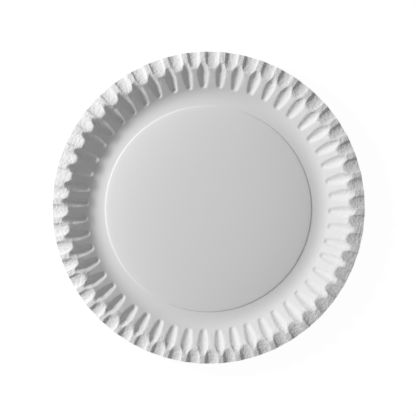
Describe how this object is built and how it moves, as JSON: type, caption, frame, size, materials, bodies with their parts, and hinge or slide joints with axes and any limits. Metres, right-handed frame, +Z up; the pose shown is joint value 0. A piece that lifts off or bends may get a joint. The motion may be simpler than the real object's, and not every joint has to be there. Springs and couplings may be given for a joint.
{
  "type": "paper plate",
  "caption": "Round white paper plate pressed from one disc of board, with a crowned middle, a sloping fluted wall and a ribbed rim.",
  "frame": {"origin": "middle of the round outline, on the surface the plate stands on", "axes": "+Z up out of the dish; +X and +Y lie in the table, and the plate looks the same from every side"},
  "size_m": [0.23, 0.23, 0.0161],
  "materials": {
    "board": "matte"
  },
  "bodies": {
    "root": {"plate": "board"}
  },
  "joints": []
}
